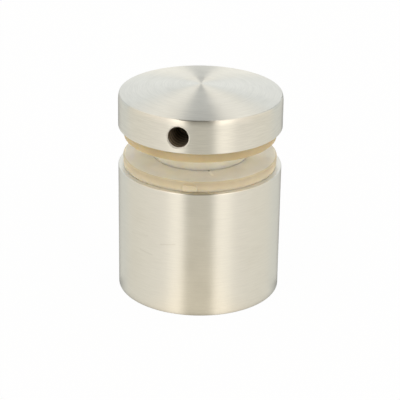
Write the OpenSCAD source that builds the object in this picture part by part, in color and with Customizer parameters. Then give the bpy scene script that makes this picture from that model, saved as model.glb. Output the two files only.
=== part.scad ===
// Glass panel standoff: a turned body screws to a wall, and a cap on a threaded
// stud clamps a glass panel between two soft gaskets. The panel's hole sits on a bush.
// The origin is the centre of the wall face, and +Z runs along the stud to the cap.

/* [Turned metal] */
// Outside diameter of the body and the cap
outer_d = 50; // [40:1:60]
// Distance from the wall to the lower gasket
body_h = 40; // [38:1:80]
// Height of the cap's side
cap_h = 10.4; // [9:0.1:16]
// How far the cap's domed face rises above its rim
dome_h = 2.7; // [1:0.1:4]
// Height of the band under each top edge that polishing has eased
ease_h = 1.9; // [1:0.1:2.5]
// Radius of the long curve of that band
ease_r = 5; // [4:0.5:12]
// Radius of the rounded outer edges
edge_r = 0.3; // [0.2:0.05:0.5]
// Countersink at the mouth of each threaded hole
mouth_chamfer = 0.6; // [0.2:0.1:1]

/* [Threads] */
// Nominal diameter of the stud and of the threaded holes
thread_d = 10; // [8:1:12]
// Full depth of the threaded hole for the wall fixing
wall_hole_depth = 13; // [8:1:15]
// Length of stud screwed into the body
stud_in_body = 14; // [10:1:15]
// Length of stud held in the cap
stud_in_cap = 7; // [5:0.5:7.5]
// Room left under the stud in the body's hole
stud_room = 1.5; // [1:0.5:2.5]
// Chamfer on both ends of the stud
stud_chamfer = 1; // [0.5:0.1:1.5]

/* [Tommy bar hole] */
// Diameter of the hole in the cap's rim
bar_hole_d = 6.3; // [4:0.1:7]
// Depth of its straight part
bar_hole_depth = 11; // [6:0.5:12]
// Countersink round its mouth
bar_hole_chamfer = 0.25; // [0.1:0.05:0.5]
// Height of its axis above the cap's lower face
bar_hole_up = 4.9; // [4.5:0.1:6]

/* [Gaskets and bush] */
// Thickness of each gasket
gasket_t = 3.3; // [2:0.1:5]
// How far the gaskets stand in from the outside of the metal
gasket_inset = 2; // [0.5:0.5:4]
// Rounding of the moulded outer edges
soft_edge_r = 0.3; // [0.1:0.05:0.6]
// Thickness of the glass panel
glass_t = 6; // [5:0.5:12]
// Outside diameter of the bush in the panel's hole
bush_d = 29; // [18:1:34]

/* [Gate mark on the lower gasket] */
// Width of the moulding gate's raised mark
gate_w = 4.8; // [2:0.1:8]
// Height of the mark
gate_h = 2.4; // [1.2:0.1:2.8]
// How far the mark stands out of the gasket's wall
gate_proud = 0.5; // [0.2:0.1:1]
// Angle of the mark round the axis from the tommy bar hole
gate_angle = 8; // [-180:1:180]

/* [Fits] */
// Radial clearance between the stud and its holes in the metal
thread_play = 0.05; // [0.02:0.01:0.1]
// Radial clearance between the stud and the soft rings
soft_play = 0.5; // [0.3:0.1:1]

/* [Hidden] */

$fn = 96;
drill_point_angle = 118;
overshoot = 1;

outer_r = outer_d / 2;
gasket_r = outer_r - gasket_inset;
bush_r = bush_d / 2;
stud_r = thread_d / 2;
thread_hole_r = stud_r + thread_play;
soft_hole_r = stud_r + soft_play;
bar_hole_r = bar_hole_d / 2;

lower_gasket_z = body_h;
bush_z = lower_gasket_z + gasket_t;
upper_gasket_z = bush_z + glass_t;
cap_z = upper_gasket_z + gasket_t;
stud_z = body_h - stud_in_body;
stud_len = cap_z + stud_in_cap - stud_z;

// Slope of the eased band where it meets the top edge's round
ease_angle = asin((ease_h - edge_r) / (ease_r - edge_r));
// Distance from the axis to the centre of the top edge's round
top_round_r = outer_r - ease_r + (ease_r - edge_r) * cos(ease_angle);
// Radius of the cap's dome, and its slope where it meets the top edge's round
dome_r = (pow(top_round_r, 2) + dome_h * (dome_h + 2 * edge_r)) / (2 * dome_h);
dome_angle = asin(top_round_r / (dome_r - edge_r));

// The mouth of the tommy bar hole is level with the sides of its countersink
bar_mouth_y = -sqrt(pow(outer_r, 2) - pow(bar_hole_r + bar_hole_chamfer, 2));
bar_hole_z = cap_z + bar_hole_up;

// Height of the cone that a twist drill leaves in a blind hole
function drill_point_h(r) = r / tan(drill_point_angle / 2);

// Half section of a disc with both outer edges rounded
module disc_section(r, h, round_r) {
  square([r - round_r, h]);
  translate([0, round_r]) square([r, h - 2 * round_r]);
  for (z = [round_r, h - round_r])
    translate([r - round_r, z]) circle(round_r, $fn = 48);
}

// Half section of the metal's side: a rounded foot, then the side, its eased band
// and the top edge's round, which all run smoothly into each other
module side_section(h) {
  square([outer_r - edge_r, h - ease_h]);
  translate([0, edge_r]) square([outer_r, h - ease_h - edge_r]);
  translate([outer_r - edge_r, edge_r]) circle(edge_r, $fn = 48);
  intersection() {
    translate([outer_r - ease_r, h - ease_h]) circle(ease_r, $fn = 360);
    square([outer_r, h - edge_r + edge_r * sin(ease_angle)]);
  }
  translate([top_round_r, h - edge_r]) circle(edge_r, $fn = 48);
}

// Half section of the cap's middle, under a dome that runs smoothly into the edge's round
module dome_section() {
  intersection() {
    translate([0, cap_h + dome_h - dome_r]) circle(dome_r, $fn = 720);
    square([top_round_r + edge_r * sin(dome_angle), cap_h + dome_h]);
  }
}

// Blind hole along +Z from its mouth at z = 0, with a countersink and an end cone
module blind_hole(r, depth, chamfer, point_h) {
  rotate_extrude()
    polygon([
      [0, -overshoot],
      [r + chamfer + overshoot, -overshoot],
      [r, chamfer],
      [r, depth],
      [0, depth + point_h]
    ]);
}

// Flat ring moulded in soft material, with a clear hole for the stud
module soft_ring(r, h) {
  difference() {
    rotate_extrude() disc_section(r, h, soft_edge_r);
    translate([0, 0, -overshoot]) cylinder(r = soft_hole_r, h = h + 2 * overshoot);
  }
}

// Raised mark with round ends, bent round the gasket's wall
module gate_mark() {
  end_r = gate_h / 2;
  straight_w = max(gate_w - gate_h, 0.1);
  intersection() {
    cylinder(r = gasket_r + gate_proud, h = gate_h);
    translate([0, -gasket_r + end_r, end_r]) rotate([90, 0, 0])
      linear_extrude(end_r + gate_proud + overshoot) {
        square([straight_w, gate_h], center = true);
        for (side = [-1, 1]) translate([side * straight_w / 2, 0]) circle(end_r);
      }
  }
}

module base_body() {
  stud_hole_depth = stud_in_body + stud_room;
  point_h = drill_point_h(thread_hole_r);
  color("#c8c5ba") difference() {
    rotate_extrude() {
      side_section(body_h);
      square([top_round_r, body_h]);
    }
    blind_hole(thread_hole_r, wall_hole_depth, mouth_chamfer, point_h);
    translate([0, 0, body_h]) mirror([0, 0, 1])
      blind_hole(thread_hole_r, stud_hole_depth, mouth_chamfer, point_h);
  }
}

module lower_gasket() {
  color("#cdbb8e") translate([0, 0, lower_gasket_z]) {
    soft_ring(gasket_r, gasket_t);
    rotate(gate_angle) difference() {
      gate_mark();
      translate([0, 0, -overshoot])
        cylinder(r = gasket_r - soft_edge_r, h = gate_h + 2 * overshoot);
    }
  }
}

module glass_bush() {
  color("#e2d9bd") translate([0, 0, bush_z]) soft_ring(bush_r, glass_t);
}

module upper_gasket() {
  color("#c9a768") translate([0, 0, upper_gasket_z]) soft_ring(gasket_r, gasket_t);
}

module clamp_cap() {
  color("#cfccc2") difference() {
    translate([0, 0, cap_z]) rotate_extrude() {
      side_section(cap_h);
      dome_section();
    }
    translate([0, 0, cap_z]) blind_hole(thread_hole_r, stud_in_cap, mouth_chamfer, 0);
    translate([0, bar_mouth_y, bar_hole_z]) rotate([-90, 0, 0])
      blind_hole(bar_hole_r, bar_hole_depth, bar_hole_chamfer, drill_point_h(bar_hole_r));
  }
}

module cap_stud() {
  color("#b4b2ab") translate([0, 0, stud_z]) rotate_extrude()
    polygon([
      [0, 0],
      [stud_r - stud_chamfer, 0],
      [stud_r, stud_chamfer],
      [stud_r, stud_len - stud_chamfer],
      [stud_r - stud_chamfer, stud_len],
      [0, stud_len]
    ]);
}

base_body();
lower_gasket();
glass_bush();
upper_gasket();
clamp_cap();
cap_stud();
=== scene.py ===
"""Dresses the glass panel standoff and lights it in a plain studio.

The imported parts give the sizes. This script adds their finishes, makes the body with its crisp rim
and the soft rings in a finer form, cuts real screw threads on the stud and in the wall hole, and
sets up a pale floor, a soft studio and the camera. Sizes are in metres unless a name says mm, and
Z is the axis of the standoff.
"""

from __future__ import annotations

import logging
import math
from dataclasses import dataclass
from enum import Enum
from functools import cache, reduce

import bmesh
import bpy
import numpy as np
from mathutils import Matrix, Vector

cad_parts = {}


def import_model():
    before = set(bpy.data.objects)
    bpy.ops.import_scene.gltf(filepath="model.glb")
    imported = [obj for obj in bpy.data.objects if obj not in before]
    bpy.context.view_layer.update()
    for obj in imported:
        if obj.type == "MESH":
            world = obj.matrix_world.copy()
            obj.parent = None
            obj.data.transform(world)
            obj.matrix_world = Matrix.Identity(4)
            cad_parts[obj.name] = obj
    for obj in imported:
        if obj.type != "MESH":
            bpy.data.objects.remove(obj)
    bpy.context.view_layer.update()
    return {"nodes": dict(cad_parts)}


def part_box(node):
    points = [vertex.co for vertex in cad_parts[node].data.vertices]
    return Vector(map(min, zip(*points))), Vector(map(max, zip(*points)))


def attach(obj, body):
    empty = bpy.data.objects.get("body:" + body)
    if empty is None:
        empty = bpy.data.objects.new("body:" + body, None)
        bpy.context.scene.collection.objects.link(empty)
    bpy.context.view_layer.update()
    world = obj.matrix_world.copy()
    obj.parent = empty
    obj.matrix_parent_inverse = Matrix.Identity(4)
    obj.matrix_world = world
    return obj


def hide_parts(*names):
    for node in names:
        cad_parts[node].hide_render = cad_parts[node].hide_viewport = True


MM = 0.001
# Points nearer than this become one, and edges that turn further than this stay sharp
MERGE_GAP = 0.001 * MM
SHARP_TURN = math.radians(35.0)
LOG = logging.getLogger("standoff")

Colour = tuple[float, float, float]
Place = tuple[float, float, float]
Span = tuple[float, float]
Node = bpy.types.Node
Socket = bpy.types.NodeSocket
Tree = bpy.types.NodeTree
Piece = bpy.types.Object
Material = bpy.types.Material

WHITE: Colour = (1.0, 1.0, 1.0)
ORIGIN: Place = (0.0, 0.0, 0.0)
UPWARD: Place = (0.0, 0.0, 1.0)
# Takes the height out of a vector
LEVEL: Place = (1.0, 1.0, 0.0)
# Noise values between which a pattern rises from 0 to 1
CONTRAST: Span = (0.3, 0.7)


class Slot(Enum):
    """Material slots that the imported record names."""

    BODY_STEEL = "body_steel"
    STUD_STEEL = "stud_steel"
    AMBER_GASKET = "amber_gasket"
    CREAM_GASKET = "cream_gasket"
    BUSH_PLASTIC = "bush_plastic"


class ThreadSide(Enum):
    """Whether a thread stands out of a rod or into a hole."""

    OUTSIDE = "outside"
    INSIDE = "inside"


# ---------- node trees


class Graph:
    """Short calls for building one shader node tree.

    A value is an output socket, a number or a tuple of numbers.
    """

    def __init__(self, tree: Tree) -> None:
        """Starts from an empty tree."""
        self.tree = tree
        tree.nodes.clear()

    def add(self, kind: str, label: str = "", **settings: object) -> Node:
        """Adds a node.

        Args:
            kind: Blender's class name of the node, without the ShaderNode prefix.
            label: what the node is for.
            **settings: properties to set on the node.

        Returns:
            The new node.
        """
        prefix = "" if kind.startswith("NodeGroup") else "ShaderNode"
        node = self.tree.nodes.new(prefix + kind)
        node.label = label
        for name, value in settings.items():
            setattr(node, name, value)
        return node

    def put(self, socket: Socket, value: object) -> None:
        """Links a socket, or sets it where the value is plain.

        Args:
            socket: the input socket.
            value: its value.
        """
        if isinstance(value, Socket):
            self.tree.links.new(value, socket)
        elif isinstance(value, tuple) and socket.type == "RGBA" and len(value) == 3:
            socket.default_value = (*value, 1.0)
        else:
            socket.default_value = value

    def feed(self, node: Node, *values: object, **inputs: object) -> Node:
        """Links or sets a node's inputs.

        Args:
            node: the node whose inputs are filled.
            *values: values of its first inputs, in their order.
            **inputs: values of inputs by name; an underscore in a name stands for a space.

        Returns:
            The same node.
        """
        for socket, value in zip(node.inputs, values):
            self.put(socket, value)
        for name, value in inputs.items():
            self.put(node.inputs[name.replace("_", " ")], value)
        return node

    def math(self, operation: str, *values: object, clamp: bool = False) -> Socket:
        """Does arithmetic on numbers, and holds the result between 0 and 1 where clamp is set."""
        return self.feed(self.add("Math", operation=operation, use_clamp=clamp), *values).outputs[0]

    def product(self, *values: object) -> Socket:
        """Multiplies numbers together."""
        return reduce(lambda first, second: self.math("MULTIPLY", first, second), values)

    def vector(self, operation: str, *values: object) -> Socket:
        """Does arithmetic on vectors; a length or a dot product is a number."""
        node = self.feed(self.add("VectorMath", operation=operation), *values)
        return node.outputs["Value" if operation in ("LENGTH", "DOT_PRODUCT") else "Vector"]

    def scaled(self, vector: Socket, scale: object) -> Socket:
        """Multiplies a vector or a colour by a number."""
        return self.feed(self.add("VectorMath", operation="SCALE"), Vector=vector, Scale=scale).outputs[0]

    def along(self, vector: Socket, direction: Vector | Place) -> Socket:
        """How far a vector goes along a direction."""
        return self.vector("DOT_PRODUCT", vector, tuple(direction))

    def off_axis(self, place: Socket) -> Socket:
        """Distance of a place from the Z axis."""
        return self.vector("LENGTH", self.vector("MULTIPLY", place, LEVEL))

    def split(self, vector: Socket) -> list[Socket]:
        """Takes a vector apart into its three numbers."""
        return list(self.feed(self.add("SeparateXYZ"), Vector=vector).outputs)

    def join(self, x: object, y: object, z: object) -> Socket:
        """Joins three numbers into a vector."""
        return self.feed(self.add("CombineXYZ"), x, y, z).outputs[0]

    def step(self, value: object, start: float, end: float) -> Socket:
        """Rises smoothly from 0 to 1 as a value goes from start to end.

        Args:
            value: the socket that is tested.
            start: where the rise begins.
            end: where it is complete; below start, the step falls instead.

        Returns:
            The step's socket.
        """
        node = self.add("MapRange", interpolation_type="SMOOTHSTEP")
        low, high = sorted((start, end))
        ends = (0.0, 1.0) if start < end else (1.0, 0.0)
        return self.feed(node, value, low, high, *ends).outputs[0]

    def mix(self, factor: object, a: object, b: object, kind: str = "RGBA") -> Socket:
        """Mixes two colours, or two vectors.

        Args:
            factor: share of the second one.
            a: the first one.
            b: the second one.
            kind: Blender's name of their type, RGBA or VECTOR.

        Returns:
            The mixture.
        """
        node = self.add("Mix", data_type=kind)
        first, second = [socket for socket in node.inputs if socket.type == kind][-2:]
        self.put(node.inputs[0], factor)
        self.put(first, a)
        self.put(second, b)
        return next(socket for socket in node.outputs if socket.type == kind)

    def noise(self, vector: object, scale: float, detail: float, fourth: object = None) -> Socket:
        """Reads a noise pattern.

        Args:
            vector: the place in the pattern.
            scale: how many features the pattern has per unit of place.
            detail: how many finer layers it has.
            fourth: a fourth coordinate, where the pattern has one.

        Returns:
            Its value, from 0 to 1.
        """
        node = self.add("TexNoise", noise_dimensions="3D" if fourth is None else "4D")
        inputs = {} if fourth is None else {"W": fourth}
        return self.feed(node, Vector=vector, Scale=scale, Detail=detail, **inputs).outputs[0]


# ---------- shared shader effects, each a node group that is built once


def new_group(name: str, inputs: dict[str, object], outputs: tuple[str, ...]) -> tuple[Graph, object, Node]:
    """Makes an empty group that reads a place on the object.

    Args:
        name: name of the group.
        inputs: its other inputs, with the usual number or vector of each.
        outputs: names of the outputs, which are numbers, apart from Normal.

    Returns:
        The group's graph, its input node's sockets and its output node.
    """
    tree = bpy.data.node_groups.new(name, "ShaderNodeTree")
    for key, value in {"Place": ORIGIN, **inputs}.items():
        kind = "NodeSocketVector" if isinstance(value, tuple) else "NodeSocketFloat"
        tree.interface.new_socket(key, in_out="INPUT", socket_type=kind).default_value = value
    for key in outputs:
        kind = "NodeSocketVector" if key == "Normal" else "NodeSocketFloat"
        tree.interface.new_socket(key, in_out="OUTPUT", socket_type=kind)
    graph = Graph(tree)
    return graph, graph.add("NodeGroupInput").outputs, graph.add("NodeGroupOutput")


@cache
def turning_marks() -> Tree:
    """Streaks that run in circles, as the lathe tool and the polishing band leave them.

    They are noise of the radius, the height and, much slower, of X and Y, so that a streak
    ends after a while, and is as long on every side of the axis.

    Returns:
        A group whose outputs are the fine Rings, the slow Bands and a Height for bumps.
    """
    wander, bands_per_ring = 0.05, 0.22
    outputs = ("Rings", "Bands", "Height")
    graph, source, sink = new_group("turning_marks", {"Rings per metre": 4000.0}, outputs)
    place, pitch = source["Place"], source["Rings per metre"]
    x, y, z = graph.split(place)
    fine = graph.scaled(graph.join(graph.off_axis(place), z, graph.product(x, wander)), pitch)
    fourth = graph.product(y, wander, pitch)
    rings = graph.noise(fine, 1.0, 3.0, fourth)
    slow = graph.scaled(fine, bands_per_ring)
    bands = graph.noise(slow, 1.0, 2.0, graph.product(fourth, bands_per_ring))
    graph.feed(
        sink,
        Rings=graph.step(rings, *CONTRAST),
        Bands=graph.step(bands, *CONTRAST),
        Height=graph.math("ADD", graph.product(rings, 0.6), graph.product(bands, 0.4)),
    )
    return graph.tree


@cache
def handling_marks() -> Tree:
    """Faint smears from handling, as a cloudy noise.

    Returns:
        A group whose output is the Smears.
    """
    smears_per_metre = 90.0
    graph, source, sink = new_group("handling_marks", {}, ("Smears",))
    cloud = graph.noise(graph.scaled(source["Place"], smears_per_metre), 1.0, 4.0)
    graph.feed(sink, Smears=graph.step(cloud, 0.48, 0.72))
    return graph.tree


@cache
def moulded_skin() -> Tree:
    """Cloudy colour and a faintly uneven skin, as a soft moulding has, and masks of its outside.

    Returns:
        A group whose outputs are Cloud for the colour, Wall for the outer wall, Rim for the
        part of a face that lies near it, and Height for bumps.
    """
    clouds_per_metre, grains_per_cloud = 130.0, 14.0
    outputs = ("Cloud", "Wall", "Rim", "Height")
    graph, source, sink = new_group("moulded_skin", {"Wall radius": 23.0 * MM}, outputs)
    inside = graph.math("SUBTRACT", source["Wall radius"], graph.off_axis(source["Place"]))
    place = graph.scaled(source["Place"], clouds_per_metre)
    cloud = graph.noise(place, 1.0, 3.0)
    grain = graph.noise(place, grains_per_cloud, 3.0)
    graph.feed(
        sink,
        Cloud=graph.step(cloud, *CONTRAST),
        Wall=graph.step(inside, 0.35 * MM, 0.1 * MM),
        Rim=graph.step(inside, 8.0 * MM, 0.0),
        Height=graph.math("ADD", cloud, graph.product(grain, 0.25)),
    )
    return graph.tree


@cache
def scuff_mask() -> Tree:
    """One short mark: all that lies near the line between two places, with soft edges.

    The nearest point of the line lies at t = (place - start) . line / |line|^2 along it, held
    between 0 and 1.

    Returns:
        A group whose output is the Mask of the mark.
    """
    inputs = {"From": ORIGIN, "To": ORIGIN, "Width": 0.4 * MM}
    graph, source, sink = new_group("scuff_mask", inputs, ("Mask",))
    line = graph.vector("SUBTRACT", source["To"], source["From"])
    offset = graph.vector("SUBTRACT", source["Place"], source["From"])
    along = graph.vector("DOT_PRODUCT", offset, line)
    length = graph.math("MAXIMUM", graph.vector("DOT_PRODUCT", line, line), 1e-9)
    nearest = graph.scaled(line, graph.math("DIVIDE", along, length, clamp=True))
    away = graph.vector("LENGTH", graph.vector("SUBTRACT", offset, nearest))
    graph.feed(sink, Mask=graph.step(graph.math("DIVIDE", away, source["Width"]), 1.0, 0.3))
    return graph.tree


@cache
def drilled_bore() -> Tree:
    """The tommy bar hole: all that lies within its radius on the -Y side, its lip and the drill's rings.

    The lip is a ring of 0.3 mm round the mouth, which fades over the next 0.25 mm.

    Returns:
        A group whose outputs are the Mask of the bore, the Lip round it, the Rings along it
        and the lip's Normal, which leans from the cap's side toward the bore as a worn edge does.
    """
    height, radius, ring_pitch, lip_lean = 57.5 * MM, 3.17 * MM, 1.6 * MM, 0.15
    mouth_y, side_y, end_y = -24.9 * MM, -20.0 * MM, -5.0 * MM
    graph, source, sink = new_group("drilled_bore", {}, ("Mask", "Lip", "Rings", "Normal"))
    x, y, z = graph.split(source["Place"])
    up = graph.math("SUBTRACT", z, height)
    to_axis = graph.join(graph.product(x, -1.0), 0.0, graph.product(up, -1.0))
    off_axis = graph.vector("LENGTH", to_axis)
    within = graph.math("LESS_THAN", off_axis, radius)
    in_front = graph.math("LESS_THAN", y, end_y)
    behind_mouth = graph.math("GREATER_THAN", y, mouth_y)
    around = graph.math("SUBTRACT", off_axis, radius)
    on_side = graph.math("LESS_THAN", y, side_y)
    wave = graph.math("SINE", graph.product(y, 2.0 * math.pi / ring_pitch))
    side = graph.vector("NORMALIZE", graph.vector("MULTIPLY", source["Place"], LEVEL))
    lean = graph.scaled(graph.vector("NORMALIZE", to_axis), lip_lean)
    turned = graph.add("VectorTransform", vector_type="NORMAL", convert_from="OBJECT", convert_to="WORLD")
    graph.feed(turned, Vector=graph.vector("ADD", side, lean))
    beyond, outside = graph.step(around, 0.55 * MM, 0.3 * MM), graph.step(around, 0.0, 0.03 * MM)
    graph.feed(
        sink,
        Mask=graph.product(within, in_front, behind_mouth),
        Lip=graph.product(beyond, outside, on_side),
        Rings=graph.step(wave, -0.9, 0.4),
        Normal=graph.vector("NORMALIZE", turned.outputs[0]),
    )
    return graph.tree


# ---------- finishes


class Paint(Graph):
    """The tree of a new material with a Principled BSDF, which reads the place on the object."""

    def __init__(self, name: str) -> None:
        """Starts the material.

        Args:
            name: its name.
        """
        self.material = bpy.data.materials.new(name)
        self.material.use_nodes = True
        super().__init__(self.material.node_tree)
        self.shader = self.add("BsdfPrincipled")
        self.feed(self.add("OutputMaterial"), Surface=self.shader.outputs["BSDF"])
        self.place = self.add("TexCoord").outputs["Object"]

    def effect(self, group: Tree, **inputs: object) -> dict[str, Socket]:
        """Places a shared effect.

        Args:
            group: its node group.
            **inputs: values of the group's inputs besides Place.

        Returns:
            The group's outputs by name.
        """
        node = self.add("Group", label=group.name.replace("_", " "), node_tree=group)
        return self.feed(node, Place=self.place, **inputs).outputs


@dataclass(frozen=True)
class Scuff:
    """A short mark between two places on a piece."""

    start: Place
    end: Place
    width: float
    tone: Colour

    def lay(self, paint: Paint, colour: object) -> Socket:
        """Lays the mark over a colour.

        Args:
            paint: the material's tree.
            colour: the colour below.

        Returns:
            The colour with the mark on it.
        """
        mark = paint.effect(scuff_mask(), From=self.start, To=self.end, Width=self.width)
        return paint.mix(mark["Mask"], colour, self.tone)


@dataclass(frozen=True)
class BoreShadeAndWear:
    """Painted shade in a drilled bore, lighter on the drill's rings, and the pale lip round it, worn
    and painted lighter as its highlight.
    """

    # Painted shade inside the bore, a dull dark brown, with a lighter tone on the drill's rings
    bore_shade: Colour = (0.09, 0.072, 0.05)
    ridge: Colour = (0.25, 0.20, 0.14)
    # Painted highlight on the worn lip, paler than the steel
    lip: Colour = (0.97, 0.95, 0.90)
    lip_roughness: float = 0.4

    def lay(self, paint: Paint, skin: dict[str, object]) -> dict[str, object]:
        """Lays the bore and its lip over a steel.

        Args:
            paint: the material's tree.
            skin: the steel's Base_Color, Roughness and Normal.

        Returns:
            The Base_Color, Metallic, Roughness and Normal with the bore in them.
        """
        bore = paint.effect(drilled_bore())
        # The bore is painted dark and dull as its shade, a little lighter on the drill's rings
        shaded_bore = paint.mix(bore["Rings"], self.bore_shade, self.ridge)
        colour = paint.mix(bore["Mask"], skin["Base_Color"], shaded_bore)
        return {
            # The worn lip is painted paler than the steel, as a painted highlight
            "Base_Color": paint.mix(bore["Lip"], colour, self.lip),
            "Metallic": paint.math("SUBTRACT", 1.0, bore["Mask"]),
            "Roughness": paint.math("ADD", skin["Roughness"], paint.product(bore["Lip"], self.lip_roughness)),
            "Normal": paint.mix(bore["Lip"], skin["Normal"], bore["Normal"], kind="VECTOR"),
        }


@dataclass(frozen=True)
class TurnedSteel:
    """Satin stainless steel with the lathe's circular grain."""

    name: str
    tint: Colour = (0.810, 0.790, 0.725)
    roughness: float = 0.32
    smear_roughness: float = 0.03
    band_roughness: float = 0.02
    anisotropy: float = 1.0
    grazing_tint: Colour = (0.87, 0.87, 0.87)
    ring_contrast: float = 0.065
    rings_per_metre: float = 4200.0
    mark_strength: float = 0.02
    mark_height: float = 0.02 * MM
    bore: BoreShadeAndWear | None = None
    scratches: tuple[Scuff, ...] = ()

    def make(self) -> Material:
        """Builds the material.

        The grain runs round Z, so the tangent is radial and is turned by a quarter.

        Returns:
            The finished material.
        """
        paint = Paint(self.name)
        marks = paint.effect(turning_marks(), Rings_per_metre=self.rings_per_metre)
        smears = paint.effect(handling_marks())["Smears"]
        shade = tuple(channel * (1.0 - self.ring_contrast) for channel in self.tint)
        colour = paint.mix(marks["Rings"], shade, self.tint)
        for scratch in self.scratches:
            colour = scratch.lay(paint, colour)
        rough = paint.math("ADD", paint.product(smears, self.smear_roughness), self.roughness)
        rough = paint.math("ADD", rough, paint.product(marks["Bands"], self.band_roughness))
        bump = paint.add("Bump", "tool marks")
        paint.feed(bump, Strength=self.mark_strength, Distance=self.mark_height, Height=marks["Height"])
        skin = {"Base_Color": colour, "Metallic": 1.0, "Roughness": rough, "Normal": bump.outputs[0]}
        if self.bore is not None:
            skin = self.bore.lay(paint, skin)
        tangent = paint.add("Tangent", direction_type="RADIAL", axis="Z")
        paint.feed(
            paint.shader,
            **skin,
            Anisotropic=self.anisotropy,
            Anisotropic_Rotation=0.25,
            Specular_Tint=self.grazing_tint,
            Tangent=tangent.outputs[0],
        )
        return paint.material


@dataclass(frozen=True)
class ThreadSteel:
    """Plain steel of a cut thread, a little darker in faint rings."""

    name: str
    tint: Colour = (0.56, 0.55, 0.52)
    roughness: float = 0.32
    band_roughness: float = 0.1
    root_share: float = 0.82
    rings_per_metre: float = 9000.0

    def make(self) -> Material:
        """Builds the material.

        Returns:
            The finished material.
        """
        paint = Paint(self.name)
        marks = paint.effect(turning_marks(), Rings_per_metre=self.rings_per_metre)
        shade = tuple(channel * self.root_share for channel in self.tint)
        colour = paint.mix(marks["Rings"], shade, self.tint)
        rough = paint.math("ADD", paint.product(marks["Bands"], self.band_roughness), self.roughness)
        paint.feed(paint.shader, Base_Color=colour, Metallic=1.0, Roughness=rough)
        return paint.material


@dataclass(frozen=True)
class SoftMoulding:
    """Translucent silicone or soft plastic with a cloudy colour, deeper on its outer wall.
    The gaskets' faces carry painted light: they are painted lighter than the wall, and lighter still
    towards the hole, against the shade in the gap between the rings.

    Where a tone is given for the wall's foot, the wall goes over from this painted light at the foot
    to its own tone at the top.
    """

    name: str
    face: Colour
    rim: Colour
    wall: Colour
    wall_r: float
    painted_lit_foot: Colour | None = None
    wall_heights: Span = (0.0, 0.0)
    cloud_contrast: float = 0.10
    roughness: float = 0.42
    cloud_roughness: float = 0.06
    refraction: float = 1.43
    subsurface: float = 0.9
    scatter_mm: Colour = (3.0, 2.6, 1.8)
    skin_strength: float = 0.25
    skin_height: float = 0.1 * MM
    scuffs: tuple[Scuff, ...] = ()

    def make(self) -> Material:
        """Builds the material.

        Returns:
            The finished material.
        """
        paint = Paint(self.name)
        skin = paint.effect(moulded_skin(), Wall_radius=self.wall_r)
        # Painted light: the face is painted lightest at the hole and darker towards the rim, against the
        # gap's shade
        tone = paint.mix(skin["Rim"], self.face, self.rim)
        wall: object = self.wall
        # Painted light: the wall is painted lighter at its foot
        if self.painted_lit_foot is not None:
            height = paint.along(paint.place, UPWARD)
            wall = paint.mix(paint.step(height, *self.wall_heights), self.painted_lit_foot, self.wall)
        tone = paint.mix(skin["Wall"], tone, wall)
        dimming = paint.product(skin["Cloud"], self.cloud_contrast)
        colour = paint.scaled(tone, paint.math("SUBTRACT", 1.0, dimming))
        for scuff in self.scuffs:
            colour = scuff.lay(paint, colour)
        rough = paint.math("ADD", paint.product(skin["Cloud"], self.cloud_roughness), self.roughness)
        bump = paint.add("Bump", "uneven skin")
        paint.feed(bump, Strength=self.skin_strength, Distance=self.skin_height, Height=skin["Height"])
        paint.feed(
            paint.shader,
            Base_Color=colour,
            Roughness=rough,
            IOR=self.refraction,
            Subsurface_Weight=self.subsurface,
            Subsurface_Radius=self.scatter_mm,
            Subsurface_Scale=MM,
            Normal=bump.outputs[0],
        )
        return paint.material


def dress(piece: Piece, material: Material) -> None:
    """Gives a piece one material, in its first slot.

    Args:
        piece: the mesh object.
        material: what it is made of.
    """
    if piece.material_slots:
        piece.material_slots[0].material = material
    else:
        piece.data.materials.append(material)


# ---------- meshes


def arc(centre: Span, radius: float, start: float, end: float, steps: int) -> np.ndarray:
    """Points of an arc in an outline: centre + radius * (cos t, sin t), t from start to end.

    Args:
        centre: radius and height of the arc's centre.
        radius: the arc's own radius.
        start: angle of its first point in degrees; 0 points away from the axis, 90 up.
        end: angle of its last point in degrees.
        steps: how many straight steps it has.

    Returns:
        The points, as rows of radius and height.
    """
    turn = np.radians(np.linspace(start, end, steps + 1))
    return np.array(centre) + radius * np.column_stack([np.cos(turn), np.sin(turn)])


def supported(outline: np.ndarray) -> np.ndarray:
    """Adds a point near both ends of each long straight line, so that flat faces shade flat.

    Args:
        outline: rows of radius and height.

    Returns:
        The outline with the new points in place.
    """
    margin = 0.04 * MM
    line = np.diff(outline, axis=0)
    length = np.hypot(line[:, 0], line[:, 1])
    long = length > 4.0 * margin
    step = line[long] / length[long, None] * margin
    after = outline[:-1][long] + step
    before = outline[1:][long] - step
    places = np.flatnonzero(long) + 1
    return np.insert(outline, np.repeat(places, 2), np.stack([after, before], axis=1).reshape(-1, 2), axis=0)


def carry_round(outline: np.ndarray, columns: int) -> np.ndarray:
    """Carries an outline once round the axis: (r cos a, r sin a, z), a from 0 to a full turn.

    Args:
        outline: rows of radius and height.
        columns: how many steps the turn has.

    Returns:
        The points, in an array of rows by columns by 3.
    """
    angle = np.linspace(0.0, 2.0 * math.pi, columns + 1)[None, :]
    radius, height = outline[:, :1], outline[:, 1:]
    return np.stack([radius * np.cos(angle), radius * np.sin(angle), height + 0.0 * angle], axis=-1)


def grid_piece(name: str, points: np.ndarray, closed: bool) -> Piece:
    """Joins a grid of points into a closed mesh object, with a face between each four of them.

    Args:
        name: name of the piece.
        points: places in an array of rows by columns by 3; the last column meets the first.
        closed: whether the last row joins the first one again.

    Returns:
        The new object, linked to the scene.
    """
    numbers = np.arange(points.shape[0] * points.shape[1]).reshape(points.shape[:2])
    if closed:
        numbers = np.vstack([numbers, numbers[:1]])
    corners = [numbers[:-1, :-1], numbers[:-1, 1:], numbers[1:, 1:], numbers[1:, :-1]]
    quads = np.stack(corners, axis=-1).reshape(-1, 4)
    mesh = bpy.data.meshes.new(name)
    mesh.from_pydata(points.reshape(-1, 3).tolist(), [], quads.tolist())
    close_mesh(mesh)
    piece = bpy.data.objects.new(name, mesh)
    bpy.context.scene.collection.objects.link(piece)
    return piece


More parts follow.
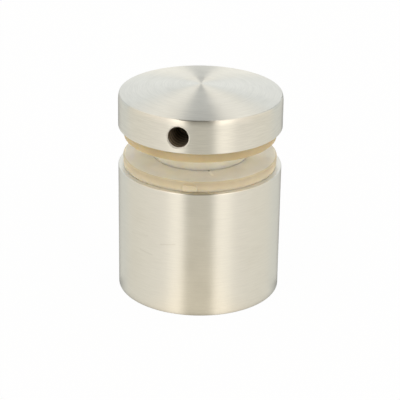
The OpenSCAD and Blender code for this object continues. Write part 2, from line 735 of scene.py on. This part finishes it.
def close_mesh(mesh: bpy.types.Mesh) -> None:
    """Merges a mesh's double points, drops what has no area and turns its faces outward.

    Args:
        mesh: the mesh to mend.
    """
    work = bmesh.new()
    work.from_mesh(mesh)
    bmesh.ops.remove_doubles(work, verts=work.verts, dist=MERGE_GAP)
    bmesh.ops.dissolve_degenerate(work, edges=work.edges, dist=MERGE_GAP)
    bmesh.ops.recalc_face_normals(work, faces=work.faces)
    work.to_mesh(mesh)
    work.free()
    mesh.shade_smooth()
    mesh.set_sharp_from_angle(angle=SHARP_TURN)


@dataclass
class ScrewThread:
    """One helical thread as a closed mesh."""

    name: str
    side: ThreadSide
    crest_r: float
    root_r: float
    bottom: float
    top: float
    pitch: float = 1.5 * MM
    root_flat: float = 0.30
    crest_flat: float = 0.15
    end_chamfer: float = 1.0 * MM
    backing: float = 0.2 * MM
    columns: int = 72
    rows_per_turn: int = 14

    def wave(self, phase: np.ndarray) -> np.ndarray:
        """Height of the thread between root and crest.

        The thread is a symmetrical trapezium: flat on the root for root_flat of the pitch, a
        straight flank, flat on the crest for crest_flat of it, and a flank back.

        Args:
            phase: place along the axis, counted in pitches.

        Returns:
            0 on the root and 1 on the crest.
        """
        from_crest = np.abs((phase % 1.0) - 0.5)
        foot, head = (1.0 - self.root_flat) / 2.0, self.crest_flat / 2.0
        return np.clip((foot - from_crest) / (foot - head), 0.0, 1.0)

    def surface(self) -> np.ndarray:
        """Works out the threaded wall.

        Row i and column j stand at angle a = 2 pi j / columns and height i / rows_per_turn + a / 2 pi
        pitches, so each row is one line of the helix. Rows past an end are pressed onto its plane.

        Returns:
            The points, in an array of rows by columns by 3.
        """
        turns = (self.top - self.bottom) / self.pitch + 2.0
        row = np.arange(math.ceil(turns * self.rows_per_turn) + 1)[:, None]
        turn = np.arange(self.columns + 1)[None, :] / self.columns
        phase = row / self.rows_per_turn + turn - 1.0
        z = np.clip(self.bottom + phase * self.pitch, self.bottom, self.top)
        radius = self.root_r + (self.crest_r - self.root_r) * self.wave(phase)
        radius = self.end_shape(radius, np.minimum(z - self.bottom, self.top - z))
        angle = 2.0 * math.pi * turn + 0.0 * row
        return np.stack([radius * np.cos(angle), radius * np.sin(angle), z], axis=-1)

    def end_shape(self, radius: np.ndarray, from_end: np.ndarray) -> np.ndarray:
        """Chamfers the ends: a rod gets thinner there, and a hole's ridges die out.

        Args:
            radius: the thread's radius at each place.
            from_end: each place's distance from the nearer end.

        Returns:
            The radius with the ends shaped.
        """
        if self.side is ThreadSide.OUTSIDE:
            chamfer = self.crest_r - self.end_chamfer + from_end
            return np.minimum(radius, np.where(from_end < self.end_chamfer, chamfer, radius))
        fade = np.clip(from_end / self.end_chamfer, 0.0, 1.0)
        return self.root_r + (radius - self.root_r) * fade

    def build(self) -> Piece:
        """Makes the mesh object, closed to a centre at each end of a rod, or by a tube behind a hole's ridge.

        Returns:
            The new object.
        """
        reach = 0.0 if self.side is ThreadSide.OUTSIDE else self.root_r + self.backing
        ends = carry_round(np.array([[reach, self.bottom], [reach, self.top]]), self.columns)
        points = np.concatenate([ends[:1], self.surface(), ends[1:]])
        return grid_piece(self.name, points, closed=self.side is ThreadSide.INSIDE)


@dataclass
class GateMark:
    """The raised mark with round ends that a moulding gate leaves on a ring's wall.

    It stands 8 degrees from the tommy bar hole, which is on the -Y side.
    """

    turn: float = math.radians(8.0 - 90.0)
    height: float = 41.2 * MM
    width: float = 4.8 * MM
    end_r: float = 1.2 * MM
    proud: float = 0.5 * MM
    slope: float = 0.25 * MM

    def rise(self, angle: np.ndarray, z: np.ndarray, radius: float) -> np.ndarray:
        """How far the wall stands out: proud inside the mark, falling smoothly to 0 over its slope.

        Distance is taken from the mark's middle line, which is its width less its two ends.

        Args:
            angle: place round the axis.
            z: height.
            radius: the wall's radius, which turns an angle into a length.

        Returns:
            The rise at each place.
        """
        turned = (angle - self.turn + math.pi) % (2.0 * math.pi) - math.pi
        beyond = np.maximum(np.abs(turned) * radius - (0.5 * self.width - self.end_r), 0.0)
        share = np.clip((self.end_r - np.hypot(beyond, z - self.height)) / self.slope, 0.0, 1.0)
        return self.proud * share * share * (3.0 - 2.0 * share)


@dataclass
class SoftRing:
    """A flat ring moulded in soft material, with a slightly uneven wall that flares to its top."""

    name: str
    wall_r: float
    hole_r: float
    bottom: float
    top: float
    flare: float = 0.0
    bulge: float = 0.05 * MM
    edge_r: float = 0.35 * MM
    unevenness: float = 0.04 * MM
    gate: GateMark | None = None
    edge_steps: int = 6
    wall_rows: int = 24
    columns: int = 720

    def outline(self) -> np.ndarray:
        """Section of the ring: its lower face, the wall between two rounded edges, and its upper face.

        The wall's radius is wall_r + flare * s + bulge * sin(pi s), where s goes from 0 to 1 up it.

        Returns:
            The points, as rows of radius and height, which close on themselves.
        """
        share = np.linspace(0.0, 1.0, self.wall_rows + 1)[1:-1]
        low, high = self.bottom + self.edge_r, self.top - self.edge_r
        radius = self.wall_r + self.flare * share + self.bulge * np.sin(math.pi * share)
        faces = np.array([[self.hole_r, self.top], [self.hole_r, self.bottom]])
        foot = arc((self.wall_r - self.edge_r, low), self.edge_r, -90.0, 0.0, self.edge_steps)
        rim = arc((self.wall_r + self.flare - self.edge_r, high), self.edge_r, 0.0, 90.0, self.edge_steps)
        wall = np.column_stack([radius, low + (high - low) * share])
        inner = np.array([[self.hole_r + 2.0 * self.edge_r, self.top]])
        return np.vstack([supported(np.vstack([faces, foot])), wall, rim, inner])

    def build(self) -> Piece:
        """Makes the ring: its section carried round, then its wall moved in and out.

        The wall's unevenness is a sum of three sines of the angle, with 2, 5 and 11 waves a turn.

        Returns:
            The new object.
        """
        points = carry_round(self.outline(), self.columns)
        angle = np.arctan2(points[..., 1], points[..., 0])
        radius = np.hypot(points[..., 0], points[..., 1])
        waves = np.sin(2.0 * angle + 0.7) + 0.6 * np.sin(5.0 * angle + 2.1) + 0.4 * np.sin(11.0 * angle)
        rise = 0.5 * self.unevenness * waves
        if self.gate is not None:
            rise = rise + self.gate.rise(angle, points[..., 2], self.wall_r)
        at_wall = np.clip(1.0 - (self.wall_r - radius) / (2.0 * self.edge_r), 0.0, 1.0)
        points[..., :2] *= (1.0 + rise * at_wall / radius)[..., None]
        points[:, -1] = points[:, 0]
        return grid_piece(self.name, points, closed=True)


@dataclass
class TurnedBody:
    """The body's turned form: a round bar with a level top face and a crisp rim round it."""

    name: str
    outer_r: float
    height: float
    hole_r: float
    foot_r: float = 0.3 * MM
    ease_h: float = 0.4 * MM
    ease_r: float = 0.8 * MM
    edge_r: float = 0.2 * MM
    mouth: float = 0.6 * MM
    wall_hole_depth: float = 13.0 * MM
    stud_hole_depth: float = 15.5 * MM
    drill_point: float = math.radians(118.0)
    round_steps: int = 8
    columns: int = 384

    def outline(self) -> np.ndarray:
        """Section of the body, from the tip of the stud's hole round the outside to the wall hole's.

        The top edge is a long curve of radius ease_r, then a round of radius edge_r, which meet
        at the angle whose sine is (ease_h - edge_r) / (ease_r - edge_r).

        Returns:
            The points, as rows of radius and height.
        """
        tip = self.hole_r / math.tan(self.drill_point / 2.0)
        stud_end = self.height - self.stud_hole_depth
        reach = self.ease_r - self.edge_r
        turn = math.asin((self.ease_h - self.edge_r) / reach)
        lean = math.degrees(turn)
        round_r = self.outer_r - self.ease_r + reach * math.cos(turn)
        ease_centre = (self.outer_r - self.ease_r, self.height - self.ease_h)
        foot_centre = (self.outer_r - self.foot_r, self.foot_r)
        inside_top = [
            [0.0, stud_end - tip],
            [self.hole_r, stud_end],
            [self.hole_r, self.height - self.mouth],
            [self.hole_r + self.mouth, self.height],
        ]
        inside_foot = [
            [self.hole_r + self.mouth, 0.0],
            [self.hole_r, self.mouth],
            [self.hole_r, self.wall_hole_depth],
            [0.0, self.wall_hole_depth + tip],
        ]
        parts = [
            np.array(inside_top),
            arc((round_r, self.height - self.edge_r), self.edge_r, 90.0, lean, self.round_steps),
            arc(ease_centre, self.ease_r, lean, 0.0, self.round_steps)[1:],
            arc(foot_centre, self.foot_r, 0.0, -90.0, self.round_steps),
            np.array(inside_foot),
        ]
        return supported(np.vstack(parts))

    def build(self) -> Piece:
        """Makes the body, with its section carried round the axis."""
        return grid_piece(self.name, carry_round(self.outline(), self.columns), closed=False)


# ---------- sub-assemblies


def plain_box(box: tuple[object, object]) -> list[list[float]]:
    """Turns a box of two corners into plain lists."""
    return [[float(value) for value in corner] for corner in box]


@dataclass
class WallBody:
    """The turned body that screws to the wall, with the thread in its wall hole."""

    hole_r: float = 5.05 * MM
    thread_depth: float = 12.0 * MM
    thread_height: float = 0.8 * MM
    thread_play: float = 0.02 * MM
    mouth: float = 0.6 * MM

    def build(self) -> list[Piece]:
        """Makes the body with its crisp rim, and cuts the thread of its wall hole.

        Returns:
            The body and the thread.
        """
        outer_r, _, height = plain_box(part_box("base_body"))[1]
        body = TurnedBody("turned_body", outer_r, height, self.hole_r).build()
        steel = TurnedSteel("satin_turned_body", ring_contrast=0.045, scratches=self.scratches())
        dress(body, steel.make())
        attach(body, "base")
        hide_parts("base_body")
        radii = (self.hole_r - self.thread_height, self.hole_r - self.thread_play)
        thread = (ThreadSide.INSIDE, *radii, self.mouth, self.thread_depth)
        ridge = ScrewThread("wall_hole_thread", *thread).build()
        dress(ridge, ThreadSteel("cut_thread_steel").make())
        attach(ridge, "base")
        return [body, ridge]

    def scratches(self) -> tuple[Scuff, ...]:
        """Faint scratches on the side, about level: one short and dark, and two long and paler.

        Returns:
            The scratches, each from one place on the side to another.
        """
        return (
            Scuff(self.on_side(-12.0, 22.5), self.on_side(-1.5, 23.3), 0.30 * MM, (0.725, 0.70, 0.635)),
            Scuff(self.on_side(-30.0, 18.7), self.on_side(-19.0, 18.2), 0.35 * MM, (0.74, 0.72, 0.66)),
            Scuff(self.on_side(-39.0, 22.9), self.on_side(-23.0, 24.0), 0.45 * MM, (0.765, 0.745, 0.68)),
        )

    def on_side(self, degrees: float, height_mm: float) -> Place:
        """Place on the side, at degrees from the front and a height in mm."""
        radius, turn = plain_box(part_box("base_body"))[1][0], math.radians(degrees)
        return radius * math.sin(turn), -radius * math.cos(turn), height_mm * MM


@dataclass
class GlassSeat:
    """The two soft gaskets and the bush, which hold the glass between them."""

    upper_r: float = 23.2 * MM
    lower_r: float = 23.35 * MM
    flare: float = 0.12 * MM
    stud_play: float = 0.5 * MM

    def build(self) -> list[Piece]:
        """Makes and dresses the soft rings.

        Returns:
            The upper gasket, the lower gasket and the bush.
        """
        bush_r = plain_box(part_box("glass_bush"))[1][0]
        upper = self.ring("amber_ring", "upper_gasket", self.upper_r)
        lower = self.ring("cream_ring", "lower_gasket", self.lower_r, flare=self.flare, gate=GateMark())
        bush = self.ring("bush_ring", "glass_bush", bush_r, bulge=0.0, edge_r=0.05 * MM, unevenness=0.0)
        rings = (
            (upper, self.amber(), "upper_gasket", "front_ring", Slot.AMBER_GASKET),
            (lower, self.cream(lower), "lower_gasket", "base", Slot.CREAM_GASKET),
            (bush, self.natural(bush_r), "glass_bush", "base", Slot.BUSH_PLASTIC),
        )
        pieces = [ring.build() for ring, *_ in rings]
        for piece, (_, finish, node, body, slot) in zip(pieces, rings):
            dress(piece, finish.make())
            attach(piece, body)
            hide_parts(node)
        return pieces

    def ring(self, name: str, node: str, wall_r: float, **form: object) -> SoftRing:
        """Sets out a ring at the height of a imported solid, with a clear hole for the stud.

        Args:
            name: name of the piece.
            node: the solid that it stands for.
            wall_r: radius of its wall at the foot.
            **form: other sizes of the ring.

        Returns:
            The ring, not yet built.
        """
        low, high = plain_box(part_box(node))
        hole_r = plain_box(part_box("cap_stud"))[1][0] + self.stud_play
        return SoftRing(name, wall_r, hole_r, low[2], high[2], **form)

    def amber(self) -> SoftMoulding:
        """Finish of the upper gasket: clear amber silicone.

        Returns:
            The finish.
        """
        # Face and rim tones are painted lighter than the wall, as painted light against the gap's shade
        face, rim, wall = (0.90, 0.86, 0.74), (0.84, 0.79, 0.65), (0.61, 0.51, 0.32)
        return SoftMoulding("amber_silicone", face, rim, wall, self.upper_r, scatter_mm=(3.0, 2.2, 1.2))

    def cream(self, ring: SoftRing) -> SoftMoulding:
        """Finish of the lower gasket: cream silicone, marked where a glass panel has rubbed its face.

        The marks are a pale smear, and a dark nick at its inner end.

        Args:
            ring: the gasket.

        Returns:
            The finish.
        """
        start, end = (6.4 * MM, -13.4 * MM, ring.top), (8.2 * MM, -16.2 * MM, ring.top)
        smear = Scuff(start, end, 0.6 * MM, (0.97, 0.94, 0.84))
        nick = Scuff(start, start, 0.55 * MM, (0.30, 0.26, 0.20))
        return SoftMoulding(
            "cream_silicone",
            # Face and rim tones are painted lighter than the wall, as painted light against the gap's shade
            face=(0.92, 0.89, 0.80),
            rim=(0.755, 0.745, 0.70),
            wall=(0.575, 0.51, 0.38),
            wall_r=ring.wall_r,
            # Painted light: the wall's foot is painted lighter than its top
            painted_lit_foot=(0.88, 0.79, 0.60),
            wall_heights=(ring.bottom, ring.top),
            scuffs=(smear, nick),
        )

    def natural(self, bush_r: float) -> SoftMoulding:
        """Finish of the bush: pale plastic in its natural colour."""
        pale, wall = (0.97, 0.93, 0.81), (0.97, 0.92, 0.79)
        return SoftMoulding("cream_bush_plastic", pale, pale, wall, bush_r)


@dataclass
class ClampCap:
    """The domed cap, and the threaded stud that draws it onto the glass."""

    cap: Piece
    thread_height: float = 0.92 * MM

    def build(self) -> list[Piece]:
        """Dresses the cap and cuts the stud's thread.

        Returns:
            The cap and the stud.
        """
        steel = TurnedSteel("satin_turned_cap", ring_contrast=0.085, bore=BoreShadeAndWear())
        dress(self.cap, steel.make())
        low, high = plain_box(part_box("cap_stud"))
        root_r = high[0] - self.thread_height
        stud = ScrewThread("threaded_stud", ThreadSide.OUTSIDE, high[0], root_r, low[2], high[2]).build()
        dress(stud, ThreadSteel("bright_stud_steel", tint=(0.66, 0.65, 0.62), roughness=0.24).make())
        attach(stud, "cap")
        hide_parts("cap_stud")
        return [self.cap, stud]


# ---------- studio


@dataclass
class Viewpoint:
    """The camera, aimed at a point on the standoff's axis."""

    azimuth: float = math.radians(15.0)
    elevation: float = math.radians(23.608)
    roll: float = math.radians(0.831)
    distance: float = 502.763 * MM
    aim_right: float = 0.195 * MM
    aim_up: float = 27.405 * MM
    focal_mm: float = 145.846
    sensor_mm: float = 36.0
    clip_start: float = 10.0 * MM

    def forward(self) -> Vector:
        """Level direction from the camera to the standoff."""
        return Vector((-math.sin(self.azimuth), math.cos(self.azimuth), 0.0))

    def right(self) -> Vector:
        """Level direction to the camera's right."""
        return Vector((math.cos(self.azimuth), math.sin(self.azimuth), 0.0))

    def build(self) -> list[Piece]:
        """Makes the scene's camera.

        Returns:
            The camera object.
        """
        ahead = self.forward() * math.cos(self.elevation) - Vector((0.0, 0.0, math.sin(self.elevation)))
        level_up = self.right().cross(ahead)
        side = self.right() * math.cos(self.roll) + level_up * math.sin(self.roll)
        up = level_up * math.cos(self.roll) - self.right() * math.sin(self.roll)
        turn = Matrix((side, up, -ahead)).transposed().to_4x4()
        aim = self.right() * self.aim_right + Vector((0.0, 0.0, self.aim_up))
        data = bpy.data.cameras.new("camera")
        data.lens = self.focal_mm
        data.sensor_width = self.sensor_mm
        data.clip_start = self.clip_start
        camera = bpy.data.objects.new("camera", data)
        camera.matrix_world = Matrix.Translation(aim - ahead * self.distance) @ turn
        bpy.context.scene.collection.objects.link(camera)
        bpy.context.scene.camera = camera
        return [camera]


@dataclass
class Floor:
    """A pale floor: diffuse where light falls on it, and nearly white where it is looked at.

    In the metal it shows as a pale floor with a painted warm pool of light in front of the object,
    a painted shadow of the object in a strip behind it, and a painted contact shadow round its foot.
    A span goes from where a part of this is absent to where it is complete, in metres, and slopes
    are metres to the side per metre behind.
    """

    viewpoint: Viewpoint
    size: float = 4.0
    tone: Colour = (0.97, 0.97, 0.97)
    camera_share: float = 0.97
    mirrored: Colour = (0.88, 0.87, 0.81)
    # Colour of the painted shadows in the mirrored floor
    shade: Colour = (0.12, 0.12, 0.12)
    # Colour of the painted warm pool of light on the floor in front of the object
    glow: Colour = (1.04, 0.96, 0.80)
    object_half: float = 27.5 * MM
    shade_slope: Span = (0.55, 0.38)
    shade_reach: Span = (300.0 * MM, 180.0 * MM)
    shade_behind: Span = (-10.0 * MM, 0.0)
    # Strength and reach of the painted contact shadow round the foot
    contact_shadow_depth: float = 0.55
    contact_shadow_reach: Span = (26.4 * MM, 25.3 * MM)
    # Where the painted pool of light lies
    glow_outside: Span = (-5.0 * MM, -19.0 * MM)
    glow_far: Span = (-110.0 * MM, -50.0 * MM)
    glow_near: Span = (0.0, -20.0 * MM)

    def build(self) -> list[Piece]:
        """Makes the floor.

        Returns:
            The floor object.
        """
        half = self.size / 2.0
        corners = [(-half, -half, 0.0), (half, -half, 0.0), (half, half, 0.0), (-half, half, 0.0)]
        mesh = bpy.data.meshes.new("floor")
        mesh.from_pydata(corners, [], [(0, 1, 2, 3)])
        floor = bpy.data.objects.new("floor", mesh)
        bpy.context.scene.collection.objects.link(floor)
        dress(floor, self.material())
        return [floor]

    def in_metal(self, graph: Graph) -> Socket:
        """Colour of the floor as the metal mirrors it, with its painted shadows and painted pool of light.

        Args:
            graph: the floor's tree.

        Returns:
            The colour.
        """
        place = graph.add("TexCoord").outputs["Object"]
        beside = graph.along(place, self.viewpoint.right())
        behind = graph.along(place, self.viewpoint.forward())
        reach = graph.vector("LENGTH", place)
        outside = graph.math("SUBTRACT", graph.math("ABSOLUTE", beside), self.object_half)
        spread = graph.math("DIVIDE", outside, graph.math("MAXIMUM", behind, MM))
        # Painted shadow of the object, in a strip of floor behind it
        strip = graph.product(
            graph.step(spread, *self.shade_slope),
            graph.step(reach, *self.shade_reach),
            graph.step(behind, *self.shade_behind),
        )
        # Painted contact shadow round the foot
        contact = graph.product(graph.step(reach, *self.contact_shadow_reach), self.contact_shadow_depth)
        # Painted warm pool of light in front of the object
        lit = graph.product(
            graph.step(outside, *self.glow_outside),
            graph.step(behind, *self.glow_far),
            graph.step(behind, *self.glow_near),
        )
        pale = graph.mix(lit, self.mirrored, self.glow)
        # The painted shadows darken the mirrored floor
        return graph.mix(graph.math("MAXIMUM", strip, contact), pale, self.shade)

    def material(self) -> Material:
        """Makes the floor's material, a diffuse paint and a plain glow mixed by the kind of ray.

        Returns:
            The finished material.
        """
        material = bpy.data.materials.new("pale_floor")
        material.use_nodes = True
        graph = Graph(material.node_tree)
        path = graph.add("LightPath").outputs
        seen = path["Is Camera Ray"]
        paint = graph.feed(graph.add("BsdfDiffuse"), Color=self.tone)
        white = graph.add("Emission")
        graph.feed(white, Color=graph.mix(seen, self.in_metal(graph), WHITE), Strength=1.0)
        mirrored = graph.math("MAXIMUM", path["Is Glossy Ray"], path["Is Transmission Ray"])
        share = graph.math("MAXIMUM", graph.product(seen, self.camera_share), mirrored)
        mixed = graph.feed(graph.add("MixShader"), share, paint.outputs[0], white.outputs[0])
        graph.feed(graph.add("OutputMaterial"), Surface=mixed.outputs[0])
        return material


@dataclass
class Studio:
    """Two tall soft boxes in front, a room beside them, and a white sweep with two flags behind.

    Each colour is the light from one part, where 1 is white. A span goes from where a part is
    absent to where it is complete. Its name ends in how far a direction leans: across the view,
    away past the object, near to the camera, up, or by reach, which is across less the boxes'
    flare and lean.
    """

    viewpoint: Viewpoint
    floor: Floor
    gap_low: Colour = (0.23, 0.205, 0.155)
    gap_high: Colour = (0.06, 0.06, 0.05)
    gap_near: Span = (0.60, 0.95)
    box_low: Colour = (2.50, 2.30, 2.05)
    box_high: Colour = (1.50, 1.42, 1.27)
    box_across: Span = (0.22, 0.45)
    box_edge: float = 0.84
    box_edge_reach: Span = (0.38, 0.64)
    box_flare: float = 0.05
    box_flare_near: Span = (0.35, 0.60)
    box_lean: float = 0.05
    room_low: Colour = (1.44, 1.31, 1.23)
    room_high: Colour = (1.03, 0.95, 0.81)
    room_reach: Span = (0.56, 0.69)
    sweep_centre: Colour = (1.16, 1.19, 1.20)
    sweep_side: Colour = (0.78, 0.81, 0.83)
    sweep_across: Span = (0.05, 0.50)
    far_room: Colour = (0.72, 0.80, 0.83)
    far_room_across: Span = (0.55, 0.75)
    flag: Colour = (0.45, 0.48, 0.52)
    flag_inner_across: Span = (0.16, 0.24)
    flag_outer_across: Span = (0.56, 0.48)
    flag_top_up: Span = (0.24, 0.10)
    back_away: Span = (0.32, 0.52)

    def build(self) -> list[Piece]:
        """Makes the floor, and paints the studio by direction, with white where the camera sees it.

        Returns:
            The floor object.
        """
        world = bpy.data.worlds.new("studio")
        bpy.context.scene.world = world
        world.use_nodes = True
        graph = Graph(world.node_tree)
        way = graph.add("TexCoord").outputs["Generated"]
        lean = graph.along(way, self.viewpoint.right())
        away = graph.along(way, self.viewpoint.forward())
        up = graph.along(way, UPWARD)
        across = graph.math("ABSOLUTE", lean)
        front = self.front(graph, lean, across, graph.math("MULTIPLY", away, -1.0, clamp=True))
        studio = graph.mix(graph.step(away, *self.back_away), front, self.back(graph, across, up))
        seen = graph.add("LightPath").outputs["Is Camera Ray"]
        background = graph.feed(graph.add("Background"), Color=graph.mix(seen, studio, WHITE), Strength=1.0)
        graph.feed(graph.add("OutputWorld"), Surface=background.outputs[0])
        bpy.context.scene.view_settings.view_transform = "Standard"
        return self.floor.build()

    def front(self, graph: Graph, lean: object, across: object, near: object) -> Socket:
        """Light from in front and overhead: two soft boxes, the dim gap between them, and the room.

        The boxes dim to box_edge towards their outer edge, and stand a little wider low down and
        on the camera's right. All parts are brighter low down, on the camera's side.

        Args:
            graph: the world's tree.
            lean: lean of a direction to the camera's right.
            across: the same to either side.
            near: its lean back to the camera.

        Returns:
            The colour.
        """
        flare = graph.product(graph.step(near, *self.box_flare_near), self.box_flare)
        offset = graph.product(lean, across, self.box_lean)
        reach = graph.math("SUBTRACT", graph.math("SUBTRACT", across, flare), offset)
        falloff = graph.product(graph.step(reach, *self.box_edge_reach), 1.0 - self.box_edge)
        box = graph.mix(near, self.box_high, self.box_low)
        box = graph.scaled(box, graph.math("SUBTRACT", 1.0, falloff))
        gap = graph.mix(graph.step(near, *self.gap_near), self.gap_high, self.gap_low)
        room = graph.mix(near, self.room_high, self.room_low)
        front = graph.mix(graph.step(across, *self.box_across), gap, box)
        return graph.mix(graph.step(reach, *self.room_reach), front, room)

    def back(self, graph: Graph, across: object, up: object) -> Socket:
        """Light from behind the object: the sweep, two low flags in it, and the room beside it.

        Args:
            graph: the world's tree.
            across: lean of a direction to either side.
            up: its lean upward.

        Returns:
            The colour.
        """
        sweep = graph.mix(graph.step(across, *self.sweep_across), self.sweep_centre, self.sweep_side)
        beside = graph.mix(graph.step(across, *self.far_room_across), sweep, self.far_room)
        flagged = graph.product(
            graph.step(across, *self.flag_inner_across),
            graph.step(across, *self.flag_outer_across),
            graph.step(up, *self.flag_top_up),
        )
        return graph.mix(flagged, beside, self.flag)


# ---------- main


def main() -> None:
    """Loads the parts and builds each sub-assembly in order."""
    logging.basicConfig(level=logging.INFO, format="%(name)s: %(message)s")
    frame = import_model()
    viewpoint = Viewpoint()
    builders = {
        "wall body": WallBody(),
        "glass seat": GlassSeat(),
        "clamp cap": ClampCap(frame["nodes"]["clamp_cap"]),
        "studio": Studio(viewpoint, Floor(viewpoint)),
        "camera": viewpoint,
    }
    for name, builder in builders.items():
        for piece in builder.build():
            LOG.info("%s: %s", name, piece.name)


if __name__ == "__main__":
    main()
